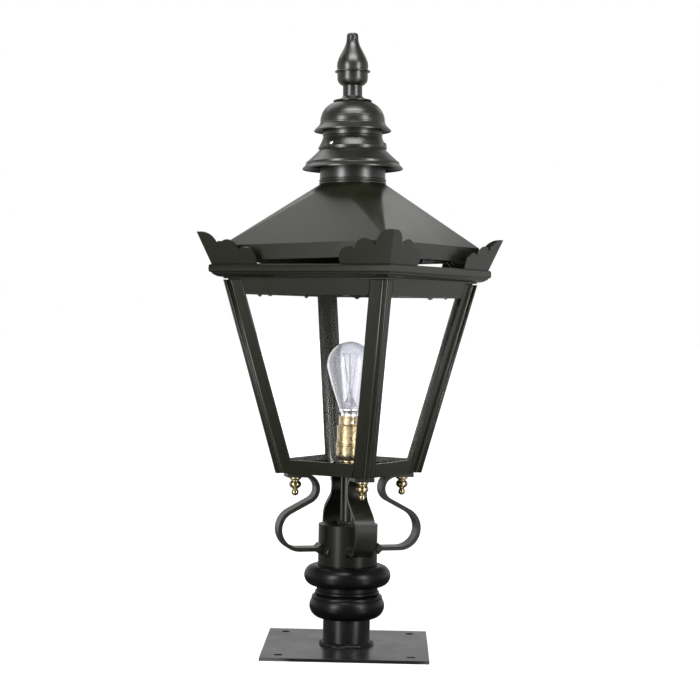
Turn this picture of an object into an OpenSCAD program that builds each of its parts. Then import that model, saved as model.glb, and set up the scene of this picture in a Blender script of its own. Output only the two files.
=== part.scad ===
// Pillar lantern: a tapered four-sided lantern with a hinged vented roof,
// carried by four scrolled arms on a socket that turns on a short tube pedestal.
// Origin at the centre of the underside of the base plate, +Z up, millimetres.

/* [Base plate] */
// Side of the square base plate
plate_w = 210; // [180:1:300]
// Thickness of the base plate
plate_t = 4; // [3:0.5:10]
// Distance between neighbouring bolt holes
bolt_pitch = 165; // [130:1:172]
// Diameter of the bolt holes
bolt_hole_d = 11; // [6:0.5:14]
// Diameter of the cable hole in the plate
cable_hole_d = 30; // [16:1:45]

/* [Pedestal] */
// Outside diameter of the pedestal tube
tube_d = 60.3; // [54:0.1:64]
// Wall of the pedestal tube
tube_wall = 3.6; // [2:0.1:6]
// Leg of the weld round the foot of the tube
weld_leg = 5; // [3:0.5:9]
// Height of the plain tube between the plate and the moulding
tube_reach = 34.5; // [20:0.5:120]
// How far the tube stands into the socket above the moulding
spigot_h = 41; // [25:1:46]

/* [Moulding] */
// Widest diameter of the lower roll
lower_roll_d = 96.4; // [92:0.2:104]
// Section radius of the lower roll
lower_roll_r = 16; // [14:0.5:17]
// Widest diameter of the upper roll
upper_roll_d = 111.4; // [106:0.2:120]
// Section radius of the upper roll
upper_roll_r = 13.5; // [11:0.5:14]
// Diameter of the neck between the rolls
neck_d = 78.6; // [74:0.2:82]
// Height from the middle of the lower roll to the middle of the upper roll
roll_spacing = 39; // [37:0.5:50]
// Diameter over the small bead below the neck
bead_d = 83; // [80:0.2:86]
// Section radius of the small bead
bead_r = 2.8; // [2:0.1:3.2]

/* [Socket] */
// Outside diameter of the socket
socket_d = 76.1; // [74:0.1:84]
// Wall of the socket
socket_wall = 3.2; // [2.5:0.1:4]
// Height of the socket
socket_h = 52.5; // [48:0.5:60]
// Diameter of the clamping screws
screw_d = 8; // [5:0.5:10]
// Height of the clamping screws above the foot of the socket
screw_up = 18; // [12:0.5:22]
// Turn of the clamping screws from halfway between two arms, in degrees
screw_turn = 12; // [0:1:16]

/* [Arms] */
// Width of the flat bar
arm_w = 25; // [16:1:30]
// Thickness of the flat bar
arm_t = 5; // [3:0.5:6]
// Height of the arm's root above the foot of the socket
arm_root_up = 21; // [16:0.5:26]
// Reach of the bar's middle line at the outer bend
arm_out = 91.3; // [80:0.5:110]
// Bend radius of the bar's middle line at the outer bend
outer_bend = 25.8; // [20:0.2:30]
// Reach of the bar's middle line at the inner bend
arm_in = 43; // [40:0.5:50]
// Bend radius of the bar's middle line at the inner bend
inner_bend = 17.2; // [13:0.2:20]
// Reach of the end of the arm under the body
arm_foot = 83; // [78:0.5:86]
// Distance of the fixing studs from the axis
stud_reach = 70.5; // [66:0.5:74]
// Diameter of the fixing studs
stud_d = 6; // [5:0.5:8]
// Diameter of the finial nuts
nut_d = 15.6; // [13:0.2:20]
// Height of the finial nuts
nut_h = 24; // [20:0.5:32]

/* [Body] */
// Turn of the lantern on its pedestal, in degrees
head_turn = 30; // [0:1:45]
// Height of the body's underside above the base plate's underside
body_z = 225; // [222:1:260]
// Width across the faces at the underside
body_bottom_w = 128; // [120:1:140]
// Width across the faces at the top edge inside the cornice
body_top_w = 232; // [215:1:250]
// Height from the underside to the top edge inside the cornice
body_h = 252; // [225:1:300]
// Thickness of the sheet
sheet_t = 2; // [1.5:0.1:2.5]
// Width of each leg of a corner post
leg_w = 20.5; // [16:0.5:26]
// How far the nose bar stands proud of the faces
nose_out = 6; // [4:0.5:8]
// Radius of the reeds beside the nose bar
reed_r = 2.5; // [1.5:0.1:3.5]
// Height of the bottom rails, along the slope
bottom_rail_h = 17.8; // [15:0.2:26]
// Height of the top rails, along the slope
top_rail_h = 26; // [23:0.2:30]
// Height of the ledge that carries the glass, along the slope
glass_ledge_up = 10; // [8:0.5:12]
// Thickness of the panes
glass_t = 3; // [2:0.5:4]

/* [Cornice] */
// How far the cornice reaches out beyond the body's top edge
cornice_out = 16.1; // [12:0.1:20]
// Height of the cornice
cornice_h = 18; // [16.5:0.1:20]
// How far the body's top edge stands up inside the cornice
cornice_lap = 6; // [4.5:0.5:7]
// Thickness of the cornice and ear sheet
cornice_t = 1.5; // [1:0.1:2]

/* [Corner ears] */
// Height of the ears' highest lobe, along the slope
ear_h = 42; // [34:0.5:54]
// Length of each leg of an ear at its foot
ear_l = 71; // [58:0.5:84]
// Outward lean of the ears, in degrees
ear_lean = 19; // [10:0.5:25]
// Distance of the ears' foot inside the cornice's edge
ear_set = 2.6; // [1.5:0.1:4]

/* [Roof] */
// Distance of the skirt inside the ears' foot
skirt_set = 9.3; // [8.6:0.1:11.4]
// Height of the upright skirt
skirt_h = 19; // [12:0.5:26]
// Rise of the slopes from the skirt to the chimney
roof_rise = 79; // [60:1:110]
// Thickness of the roof sheet
roof_t = 1.5; // [1:0.1:2]
// Gap under the skirt with the roof shut
shut_gap = 4.5; // [3:0.1:6]
// How far the roof stands ajar, in degrees
ajar = 1.2; // [0.5:0.1:3]
// Length of the roof hinge
hinge_l = 60; // [40:1:90]
// Diameter of the hinge pin
hinge_pin_d = 2.6; // [2:0.1:3]
// Outside diameter of the hinge knuckles
knuckle_d = 5.2; // [4.6:0.1:5.4]

/* [Chimney] */
// Outside diameter of the chimney neck
chimney_d = 84; // [76:0.5:90]
// Height of the chimney neck from the roof to the vent drum
chimney_h = 46; // [44:0.5:54]
// Thickness of the spun sheet
spun_t = 1.2; // [0.8:0.1:1.6]
// Height of the canopy
canopy_h = 24.6; // [20:0.2:30]
// Diameter of the canopy over its rim
canopy_d = 129; // [122:0.2:140]
// Diameter of the vent drum at its foot
drum_foot_d = 88; // [84:0.5:94]
// Diameter of the vent drum at its waist
drum_waist_d = 76; // [70:0.5:78]
// Height of the flared part of the vent drum
drum_flare_h = 16; // [12:0.5:22]
// Height of the pierced band between the drum's waist and the dome
band_h = 13; // [11:0.5:16]
// Diameter of the vent holes
vent_d = 7; // [4:0.5:8]
// Number of vent holes
vent_n = 12; // [4:1:20]
// Thread diameter of the screws that hold the drum on the neck
drum_screw_d = 3; // [2.5:0.5:3.5]
// Diameter of the dome over its rim
dome_rim_d = 98.8; // [94:0.2:110]
// Diameter of the dome above its rim
dome_d = 83; // [80:0.5:86]
// Height of the dome above its flared rim
dome_h = 28.5; // [27:0.5:32]

/* [Finial] */
// Diameter of the cap plate under the finial
cap_d = 49.6; // [40:0.2:60]
// Diameter of the stem
stem_d = 24.8; // [20:0.2:30]
// Diameter of the ring round the finial
finial_ring_d = 45.4; // [42:0.2:52]
// Diameter of the finial's body
finial_d = 40.2; // [34:0.2:41]
// Diameter of the finial's tip
finial_tip_d = 15.2; // [10:0.2:20]
// Height of the finial above the cap plate
finial_h = 81; // [70:0.5:100]
// Diameter of the spindle that holds the chimney together
spindle_d = 8; // [6:0.5:10]

/* [Lamp] */
// Diameter of the bulb
bulb_d = 60; // [50:0.5:66]
// Height of the lamp from its contacts to its top
lamp_h = 111; // [105:0.5:125]
// Diameter of the bayonet cap
cap_shell_d = 22; // [21.8:0.1:22.2]
// Diameter of the conduit that carries the lampholder
conduit_d = 20; // [16:0.5:22]
// Height of the lampholder's rim above the body's underside
holder_up = 73; // [68:0.5:90]
// Travel of the contact plungers
plunger_travel = 2.5; // [1.5:0.1:3]

/* [Catch] */
// Distance from the catch's pin to the bend of its tongue
catch_l = 51; // [40:1:60]
// Distance of the catch's pin from the middle of its side
catch_pin_off = 0; // [0:1:30]
// Height of the catch's strip
catch_strip_h = 3.6; // [2.5:0.1:5]
// Length of the bent tongue
tongue_l = 25; // [15:1:28]
// Depth of the bent tongue under the strip
tongue_drop = 12; // [8:0.2:13]
// Diameter of the catch's pin
catch_pin_d = 3; // [2:0.5:4]

/* [Hidden] */
$fn = 96;

// Clearance between pieces that move past each other
run_gap = 0.4;
// Radial clearance of a pin in its bore
pin_fit = 0.05;
// Clearance round a fastener that passes through a hole
hole_fit = 0.1;
// A cut goes this far past the surface that it leaves
past = 1;
// Faces of the turned curves' outline per stretch
curve_n = 10;

// Pedestal and socket
tube_r = tube_d / 2;
moulding_z = plate_t + tube_reach;
lower_roll_z = moulding_z + lower_roll_r;
upper_roll_z = lower_roll_z + roll_spacing;
moulding_top = upper_roll_z + upper_roll_r;
tube_top = moulding_top + spigot_h;
socket_r = socket_d / 2;
socket_z = moulding_top - 0.2;
socket_top = socket_z + socket_h;
screw_z = socket_z + screw_up;
screw_head_r = screw_d * 0.66;
screw_head_h = screw_d * 0.42;

// Arms: two bends joined by the straight line that touches both
root_z = socket_z + arm_root_up;
outer_c = [arm_out - outer_bend, root_z + outer_bend];
inner_c = [arm_in + inner_bend, body_z - arm_t / 2 - inner_bend];
bend_gap = norm(inner_c - outer_c);
bend_dir = atan2(inner_c[1] - outer_c[1], inner_c[0] - outer_c[0]);
touch_a = bend_dir - acos((outer_bend + inner_bend) / bend_gap);
weld_side = 4.5;
// The studs stand this far into the nuts
nut_grip = nut_h / 2;

// Body: the faces lean out, and each corner line lies in two of them
bottom_half = body_bottom_w / 2;
top_half = body_top_w / 2;
lean = (top_half - bottom_half) / body_h;
face_a = atan(lean);
corner_a = atan(lean * sqrt(2));
slope_h = body_h / cos(face_a);
// Half the angle between the two legs of a post, square to the corner line
half_fold = acos(pow(sin(face_a), 2)) / 2;
leg_u = leg_w / cos(atan(sin(face_a)));
body_top = body_z + body_h;
nose_top = body_top - cornice_lap - 1.5;
top_rail_v = slope_h - top_rail_h;
glass_v = glass_ledge_up + 1.5;
glass_inset = 8;
clip_t = 1.2;
clip_w = 9.5;
clip_screw_d = 3.8;
// The clip screws go this far into the rails and stop short of the outer face
clip_grip = sheet_t - 0.6;
clip_foot = 7.2;
clip_v = slope_h - cornice_lap / cos(face_a) - 1.6 - clip_foot / 2;
glass_top_v = clip_v - clip_foot / 2 - run_gap;
tray_t = 2;

// Cornice
cornice_z = body_top - cornice_lap;
cornice_top = cornice_z + cornice_h;
cornice_half = top_half + cornice_out;
wall_out = sheet_t / cos(face_a);
flange_out = top_half - lean * cornice_lap - wall_out;
flange_in = flange_out - cornice_t;
// The square end of the sloping sheet rises this far on its inner side
wall_rise = sheet_t * sin(face_a) + 0.1;

// Ears
ear_half = cornice_half - ear_set;
ear_scale = ear_h / 44.5;
lobes = [[-7, 21.5, 23], [29.5, 16.9, 16.5], [54, 6.3, 16.5]];
ear_end = ear_l / 71;
rivet_d = 3;
ear_foot_w = 7.5;

// Roof, drawn shut, and turned on its hinge to where it stands
roof_half = ear_half - skirt_set;
skirt_z = cornice_top + shut_gap;
fold_z = skirt_z + skirt_h;
neck_z = fold_z + roof_rise;
knuckle_r = knuckle_d / 2;
hinge_x = -(roof_half + knuckle_r + run_gap);
hinge_z = cornice_top + knuckle_r + 0.3;
hinge_leaf_t = 1.2;
knuckle_n = 5;

// Chimney
neck_r = chimney_d / 2;
neck_bead = 3.8;
canopy_r = canopy_d / 2;
drum_foot_r = drum_foot_d / 2;
drum_waist_r = drum_waist_d / 2;
drum_z = neck_z + chimney_h;
waist_z = drum_z + drum_flare_h;
collar_r = drum_waist_r - 0.4;
// The drum screws stand square to the flared wall
drum_screw_z = drum_z + drum_flare_h * 0.325;
drum_screw_a = -98.3;
flare_out = drum_foot_r - 0.4 - drum_waist_r;
flare_share = 1 - (drum_screw_z - drum_z - 2.4) / (drum_flare_h - 2.4);
drum_screw_r = drum_waist_r + flare_out * pow(flare_share, 1.4);
drum_screw_tilt = atan(1.4 * flare_out * pow(flare_share, 0.4) / (drum_flare_h - 2.4));
drum_screw_l = (drum_screw_r - collar_r + spun_t + 2) / cos(drum_screw_tilt);
dome_z = waist_z + band_h + 6.2;
dome_rim_z = dome_z - 12.6;
// The vent holes sit in the band, behind the dome's rim
vent_z = dome_rim_z + vent_d / 2 + 0.8;
dome_r = dome_d / 2;
shoulder_r = 26;
shoulder_x = dome_r - shoulder_r;
crown_drop = (pow(shoulder_x, 2) - pow(dome_h - shoulder_r, 2)) / (2 * (dome_h - shoulder_r));
crown_r = dome_h + crown_drop;
crown_a = atan2(crown_drop, shoulder_x);
cap_r = cap_d / 2;
// The plate's rim stands out past the ring on which it rests
cap_seat_r = cap_r - 4;
cap_edge_z = dome_z + sqrt(pow(shoulder_r, 2) - pow(max(cap_seat_r - shoulder_x, 0), 2));
cap_top = cap_edge_z + 7.1;
finial_r = finial_d / 2;
tip_r = finial_tip_d / 2;
stem_r = stem_d / 2;
finial_k = finial_h / 81;

// Lampholder and lamp
conduit_r = conduit_d / 2;
holder_top = body_z + holder_up;
lamp_z = holder_top - 15;
lamp_top = lamp_z + lamp_h;
pin_z = lamp_z + 7;
pin_r = 1;
shell_r = cap_shell_d / 2;
holder_bore = shell_r + 0.45;
holder_wall = 2.35;
core_top = lamp_z - 6;
cup_z = body_z + 10;
cup_rim = holder_top - 41;
ring_top = cup_rim + 9;
barrel_r = 16;
contact_x = 4;
bayonet_turn = 15;
pin_rest_a = -48;

function arc(c, r, from, to, n) =
    [for (i = [0 : n]) c + r * [cos(from + (to - from) * i / n), sin(from + (to - from) * i / n)]];
function ogee(from, to, n) =
    [for (i = [0 : n]) [from[0] + (to[0] - from[0]) * (1 - cos(180 * i / n)) / 2,
        from[1] + (to[1] - from[1]) * i / n]];
function flare(from, to, power, n) =
    [for (i = [0 : n]) [to[0] + (from[0] - to[0]) * pow(1 - i / n, power),
        from[1] + (to[1] - from[1]) * i / n]];
function inset(points, by) = [for (p = points) p - [by, 0]];
function backward(points) = [for (i = [len(points) - 1 : -1 : 0]) points[i]];
function half_at(v) = bottom_half + v * sin(face_a);

// The lantern stands turned on the pedestal
module head() {
    rotate([0, 0, -head_turn]) children();
}

// The roof stands ajar on its hinge
module ajar_roof() {
    head() translate([hinge_x, 0, hinge_z]) rotate([0, -ajar, 0]) translate([-hinge_x, 0, -hinge_z])
        children();
}

// Side 0 faces +X, 1 +Y, 2 -X and 3 -Y: drawn in the plane of the face, raised outward
module on_side(side) {
    rotate([0, 0, 90 * side]) translate([bottom_half, 0, body_z]) rotate([0, face_a, 0])
        rotate([90, 0, 90]) children();
}

// Corner 0 is the front one, 1 right, 2 back and 3 left, with +X outward
module on_corner(corner) {
    rotate([0, 0, 90 * corner - 45]) children();
}

module between(low, high) {
    intersection() {
        children();
        translate([-cornice_half * 2, -cornice_half * 2, low])
            cube([cornice_half * 4, cornice_half * 4, high - low]);
    }
}

module ring_of(r_out, r_in, low, high) {
    translate([0, 0, low]) difference() {
        cylinder(r = r_out, h = high - low);
        translate([0, 0, -past]) cylinder(r = r_in, h = high - low + 2 * past);
    }
}

module base_plate() {
    color("#3a3b3b") difference() {
        translate([0, 0, plate_t / 2]) cube([plate_w, plate_w, plate_t], center = true);
        for (x = [-1, 1], y = [-1, 1]) {
            translate([x * bolt_pitch / 2, y * bolt_pitch / 2, -past])
                cylinder(d = bolt_hole_d, h = plate_t + 2 * past);
        }
        translate([0, 0, -past]) cylinder(d = cable_hole_d, h = plate_t + 2 * past);
    }
}

module pedestal_tube() {
    color("#262727") ring_of(tube_r, tube_r - tube_wall, plate_t, tube_top);
}

module tube_weld() {
    color("#2c2d2d") translate([0, 0, plate_t]) rotate_extrude()
        polygon(concat([[tube_r, 0]],
            arc([tube_r + weld_leg * 0.28, weld_leg * 0.28], weld_leg * 0.72, -20, 110, 6),
            [[tube_r, weld_leg]]));
}

module moulding_outline() {
    bead_z = upper_roll_z - upper_roll_r - 5.6 - bead_r;
    translate([lower_roll_d / 2 - lower_roll_r, lower_roll_z]) circle(r = lower_roll_r);
    translate([upper_roll_d / 2 - upper_roll_r, upper_roll_z]) circle(r = upper_roll_r);
    translate([tube_r - past, moulding_z])
        square([lower_roll_d / 2 - lower_roll_r - tube_r + past, lower_roll_r]);
    translate([tube_r - past, lower_roll_z]) square([neck_d / 2 - tube_r + past, roll_spacing]);
    translate([tube_r - past, upper_roll_z])
        square([upper_roll_d / 2 - upper_roll_r - tube_r + past - 1.5, upper_roll_r - 0.8]);
    translate([bead_d / 2 - bead_r, bead_z]) circle(r = bead_r);
    translate([tube_r, bead_z - bead_r * 0.8]) square([bead_d / 2 - bead_r - tube_r + 1, bead_r * 1.6]);
    translate([bead_d / 2 + 4 - bead_r * 1.3, bead_z - bead_r * 2.3]) circle(r = bead_r * 1.3);
    translate([tube_r, bead_z - bead_r * 3.3]) square([bead_d / 2 + 4 - bead_r * 1.3 - tube_r, bead_r * 2]);
}

module moulding() {
    color("#262727") rotate_extrude() difference() {
        moulding_outline();
        translate([0, moulding_z - past]) square([tube_r, moulding_top - moulding_z + 2 * past]);
    }
}

// Round screw head: a short upright edge under a dome
module domed_head(r, h) {
    edge = h * 0.25;
    ball = (r * r + pow(h - edge, 2)) / (2 * (h - edge));
    rotate_extrude() polygon(concat([[0, 0], [r, 0]], arc([0, h - ball], ball, 90 - asin(r / ball), 90, 6)));
}

module at_screws() {
    for (i = [0 : 3]) {
        rotate([0, 0, 90 * i - screw_turn]) translate([0, 0, screw_z]) rotate([0, 90, 0]) children();
    }
}

module column_socket() {
    color("#3c3e38") head() difference() {
        translate([0, 0, socket_z]) cylinder(r = socket_r, h = socket_h);
        translate([0, 0, socket_z - past])
            cylinder(r = socket_r - socket_wall, h = socket_h - socket_wall + past);
        translate([0, 0, socket_top - socket_wall - past])
            cylinder(r = conduit_r + hole_fit, h = socket_wall + 2 * past);
        at_screws() cylinder(d = screw_d + 2 * hole_fit, h = socket_d);
    }
}

module socket_screws() {
    color("#4a4c46") head() at_screws() {
        translate([0, 0, tube_r + run_gap]) cylinder(d = screw_d, h = socket_r - tube_r);
        translate([0, 0, socket_r]) domed_head(screw_head_r, screw_head_h);
    }
}

// A stretch of flat bar seen from its edge: straight, or bent round a centre
module bar_between(from, to, t) {
    way = (to - from) / norm(to - from);
    side = [-way[1], way[0]] * t / 2;
    polygon([from + side, from - side, to - side, to + side]);
}

module bar_bend(c, r, from, to, t) {
    translate(c) intersection() {
        difference() {
            circle(r = r + t / 2);
            circle(r = r - t / 2);
        }
        polygon(concat([[0, 0]], arc([0, 0], 2 * r, from, to, 4)));
    }
}

module arm_outline() {
    touch = [cos(touch_a), sin(touch_a)];
    bar_between([socket_r - socket_wall, root_z], [outer_c[0], root_z], arm_t);
    bar_bend(outer_c, outer_bend, -90, touch_a, arm_t);
    bar_between(outer_c + outer_bend * touch, inner_c - inner_bend * touch, arm_t);
    bar_bend(inner_c, inner_bend, 90, 180 + touch_a, arm_t);
    bar_between([inner_c[0], body_z - arm_t / 2], [arm_foot, body_z - arm_t / 2], arm_t);
    for (up = [-1, 1]) {
        polygon([[socket_r - past, root_z], [socket_r + weld_side, root_z],
            [socket_r + weld_side, root_z + up * arm_t / 2], [socket_r, root_z + up * (arm_t / 2 + weld_side)],
            [socket_r - past, root_z + up * (arm_t / 2 + weld_side)]]);
    }
}

module arm(corner) {
    color("#33352f") head() on_corner(corner) difference() {
        rotate([90, 0, 0]) translate([0, 0, -arm_w / 2]) linear_extrude(arm_w) arm_outline();
        translate([0, 0, socket_z]) cylinder(r = socket_r, h = socket_h);
        translate([stud_reach, 0, body_z - arm_t - past])
            cylinder(d = stud_d + 2 * hole_fit, h = arm_t + 2 * past);
    }
}

module at_studs() {
    for (i = [0 : 3]) {
        on_corner(i) translate([stud_reach, 0, 0]) children();
    }
}

// Turned brass nut under each foot: a collar, a waist, a bulb and a button
module finial_nuts() {
    r = nut_d / 2;
    h = nut_h;
    button = nut_h * 0.19;
    color("#b08d3c") head() at_studs() translate([0, 0, body_z - arm_t]) difference() {
        rotate_extrude() polygon(concat([[0, 0], [r, 0], [r, -h * 0.09], [r * 0.82, -h * 0.13]],
            [[r * 0.64, -h * 0.17], [r * 0.64, -h * 0.21]], arc([r * 0.4, -h * 0.39], r * 0.6, 65, -60, 8),
            [[r * 0.52, -h * 0.6], [r * 0.42, -h * 0.64]], arc([0, button - h], button, 52, -90, 8)));
        translate([0, 0, -nut_grip - 1]) cylinder(d = stud_d + pin_fit * 2, h = nut_grip + 1 + past);
    }
}

module foot_studs() {
    color("#7c7d78") head() at_studs() {
        translate([0, 0, body_z - arm_t - nut_grip]) cylinder(d = stud_d, h = arm_t + nut_grip + tray_t);
        translate([0, 0, body_z + tray_t]) cylinder(d = stud_d * 1.8, h = stud_d * 0.6, $fn = 6);
    }
}

module floor_tray() {
    half = bottom_half - wall_out;
    color("#2f312c") head() difference() {
        translate([-half, -half, body_z]) cube([2 * half, 2 * half, tray_t]);
        translate([0, 0, body_z - past]) cylinder(r = conduit_r + hole_fit, h = tray_t + 2 * past);
        at_studs() translate([0, 0, body_z - past])
            cylinder(d = stud_d + 2 * hole_fit, h = tray_t + 2 * past);
        for (i = [0 : 3]) {
            rotate([0, 0, 90 * i]) translate([half * 0.68, 0, body_z - past])
                cylinder(d = 6, h = tray_t + 2 * past);
        }
        rotate([0, 0, 200]) translate([half * 0.55, 0, body_z - past])
            cylinder(d = 4 + 2 * hole_fit, h = tray_t + 2 * past);
    }
}

// A flat strip between the legs of two posts, from one height on the face to another
module rail_outline(low, high) {
    polygon([[-half_at(low) + leg_u, low], [half_at(low) - leg_u, low],
        [half_at(high) - leg_u, high], [-half_at(high) + leg_u, high]]);
}

module bottom_rails() {
    color("#35372f") head() for (i = [0 : 3]) {
        on_side(i) {
            translate([0, 0, -sheet_t]) linear_extrude(sheet_t) rail_outline(0, bottom_rail_h);
            translate([-half_at(0) + leg_u, glass_ledge_up, -sheet_t - 7])
                cube([2 * (half_at(0) - leg_u), 1.5, 7 + sheet_t / 2]);
        }
    }
}

module top_rails() {
    color("#35372f") head() difference() {
        for (i = [0 : 3]) {
            on_side(i) translate([0, 0, -sheet_t]) linear_extrude(sheet_t) rail_outline(top_rail_v, slope_h);
        }
        at_clips() translate([0, 0, -sheet_t - past])
            cylinder(d = clip_screw_d + 2 * hole_fit, h = past + clip_grip + hole_fit);
    }
}

// Square to the corner line: two legs, the nose bar on the outer corner and a reed beside it
module post_legs_outline() {
    for (m = [0, 1]) {
        mirror([0, m]) rotate(90 + half_fold) square([leg_w, sheet_t]);
    }
}

module post_nose_outline() {
    rotate(-45) offset(r = 1.6) offset(delta = -1.6) translate([-sheet_t, -sheet_t])
        square(nose_out + sheet_t);
    rotate(-45) translate([-sheet_t, -sheet_t]) square(sheet_t);
    for (m = [0, 1]) {
        mirror([0, m]) rotate(90 + half_fold) intersection() {
            translate([sheet_t, 0]) circle(r = reed_r);
            translate([0, -reed_r - 1]) square([sheet_t + reed_r + 1, reed_r + 1.5]);
        }
    }
}

module along_corner(corner) {
    on_corner(corner) translate([bottom_half * sqrt(2), 0, body_z]) rotate([0, corner_a, 0])
        translate([0, 0, -nose_out * 2]) linear_extrude(body_h * 1.1 + nose_out * 4) children();
}

module post(corner) {
    color("#33352f") head() {
        between(body_z, body_top) along_corner(corner) post_legs_outline();
        between(body_z, nose_top) along_corner(corner) post_nose_outline();
    }
}

module pane(side) {
    color("#d8e4e2", 0.3) head() on_side(side) translate([0, 0, -sheet_t - glass_t]) linear_extrude(glass_t)
        polygon([[-half_at(glass_v) + glass_inset, glass_v], [half_at(glass_v) - glass_inset, glass_v],
            [half_at(glass_top_v) - glass_inset, glass_top_v],
            [-half_at(glass_top_v) + glass_inset, glass_top_v]]);
}

// Two bent clips on each top rail hold a pane against the posts
module at_clips() {
    for (i = [0 : 3], m = [-1, 1]) {
        on_side(i) translate([m * half_at(top_rail_v) / 2, clip_v, 0]) children();
    }
}

module glass_clips() {
    drop = clip_v - top_rail_v + 3.4;
    color("#55574f") head() at_clips() translate([0, 0, -sheet_t]) difference() {
        union() {
            translate([-clip_w / 2, -clip_foot / 2, -glass_t]) cube([clip_w, clip_foot, glass_t]);
            translate([-clip_w / 2, -drop + clip_w / 2, -glass_t - clip_t])
                cube([clip_w, drop - clip_w / 2 + clip_foot / 2, clip_t]);
            translate([0, -drop + clip_w / 2, -glass_t - clip_t]) cylinder(d = clip_w, h = clip_t);
        }
        translate([0, 0, -glass_t - clip_t - past])
            cylinder(d = clip_screw_d + 2 * hole_fit, h = glass_t + clip_t + 2 * past);
    }
}

module clip_screws() {
    color("#8b8c86") head() at_clips() translate([0, 0, -sheet_t - glass_t - clip_t]) {
        cylinder(d = clip_screw_d, h = glass_t + clip_t + clip_grip);
        rotate([180, 0, 0]) domed_head(clip_screw_d * 0.92, 2);
    }
}

// Folded moulding: a hollow section with a lip against the body and a flange inside it
module cornice_solid() {
    edge = cornice_half;
    low = cornice_z;
    fillet = edge - 13.6;
    polygon(concat([[flange_in, low], [fillet, low], [fillet, low + 1.6]],
        arc([fillet + 0.3, low + 15.2], 13.6, -88, -46, 5),
        [[edge - 2.9, low + 6.2], [edge - 2.9, low + 7.2]],
        arc([edge - 3, low + 10.2], 3, -80, 0, 4), arc([edge - 3, cornice_top - 3], 3, 0, 90, 4),
        [[flange_in, cornice_top]]));
}

module cornice_section() {
    difference() {
        cornice_solid();
        offset(delta = -cornice_t) cornice_solid();
        // The notch that the body's wall fills: it leans as the wall does
        polygon([[flange_out - lean * past, cornice_z - past],
            [top_half - lean * (cornice_lap + past), cornice_z - past],
            [top_half + lean * wall_rise, body_top + wall_rise],
            [flange_out + lean * (cornice_lap + wall_rise), body_top + wall_rise]]);
    }
}

module cornice() {
    far = cornice_half * 2;
    color("#3a3c35") head() difference() {
        for (i = [0 : 3]) {
            rotate([0, 0, 90 * i]) intersection() {
                rotate([90, 0, 0]) translate([0, 0, -far / 2]) linear_extrude(far) cornice_section();
                linear_extrude(cornice_top * 2) polygon([[0, 0], [far, -far], [far, far]]);
            }
        }
        at_ear_rivets() cylinder(d = rivet_d + 2 * hole_fit, h = 4 * cornice_t, center = true);
    }
}

// Three lobes step down from the corner, in the plane of the ear
module ear_outline() {
    rise = sin(ear_lean);
    intersection() {
        union() {
            for (l = lobes) {
                translate([-l[0] * ear_end, l[1] * ear_scale]) circle(r = l[2] * ear_scale);
            }
            translate([-lobes[0][0] * ear_end, 0]) square([ear_h, ear_h]);
            polygon([[20, 0], [20, lobes[0][1] * ear_scale],
                [-lobes[0][0] * ear_end, lobes[0][1] * ear_scale],
                [-lobes[1][0] * ear_end, lobes[1][1] * ear_scale],
                [-lobes[2][0] * ear_end, lobes[2][1] * ear_scale], [-ear_l + 1, 0]]);
        }
        polygon([[0, 0], [rise * ear_h * 1.3, ear_h * 1.3], [-ear_l * 1.1, ear_h * 1.3], [-ear_l * 1.1, 0]]);
    }
}

// Each corner has two ear legs, which mirror each other in the diagonal
module both_legs(corner) {
    on_corner(corner) for (m = [0, 1]) {
        mirror([0, m, 0]) rotate([0, 0, 45]) children();
    }
}

module corner_ears() {
    color("#383a33") head() difference() {
        for (i = [0 : 3]) {
            both_legs(i) {
                translate([ear_half, -ear_half, cornice_top]) rotate([0, ear_lean, 0]) rotate([90, 0, 90])
                    mirror([1, 0, 0]) translate([0, 0, -cornice_t]) linear_extrude(cornice_t) ear_outline();
                translate([ear_half - ear_foot_w, -ear_half + ear_foot_w - 1, cornice_top])
                    cube([ear_foot_w - 0.2, ear_l - ear_foot_w - 6, cornice_t]);
            }
        }
        at_ear_rivets() cylinder(d = rivet_d + 2 * hole_fit, h = 4 * cornice_t, center = true);
    }
}

module at_ear_rivets() {
    for (i = [0 : 3], f = [0.28, 0.72]) {
        both_legs(i) translate([ear_half - ear_foot_w * 0.55, -ear_half + ear_l * f, cornice_top]) children();
    }
}

module ear_rivets() {
    color("#383a33") head() at_ear_rivets() {
        translate([0, 0, -cornice_t]) cylinder(d = rivet_d, h = 2 * cornice_t);
        translate([0, 0, cornice_t]) cylinder(d1 = rivet_d * 1.8, d2 = rivet_d, h = 1.2);
    }
}

module conduit() {
    color("#4b4d46") head() ring_of(conduit_r, conduit_r - 1.5, tube_top + 1, cup_z + 9);
}

module hex_nut(z, across, h) {
    translate([0, 0, z]) difference() {
        cylinder(d = across / cos(30), h = h, $fn = 6);
        translate([0, 0, -past]) cylinder(r = conduit_r + pin_fit, h = h + 2 * past);
    }
}

module conduit_nuts() {
    across = conduit_d + 7;
    color("#8b8c86") head() {
        hex_nut(socket_top - socket_wall - 3.2, across, 3.2);
        hex_nut(socket_top, across, 4);
        hex_nut(body_z - 4, across, 4);
        hex_nut(body_z + tray_t, across, 4);
    }
}

module earth_screw() {
    half = bottom_half - wall_out;
    color("#b08d3c") head() rotate([0, 0, 200]) translate([half * 0.55, 0, body_z]) {
        cylinder(d = 4, h = tray_t + 7);
        translate([0, 0, tray_t]) cylinder(d = 9, h = 1, $fn = 48);
        translate([0, 0, tray_t + 1]) cylinder(d = 8, h = 3, $fn = 6);
        translate([0, 0, -2.4]) cylinder(d1 = 6, d2 = 7.6, h = 2.4);
    }
}

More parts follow.
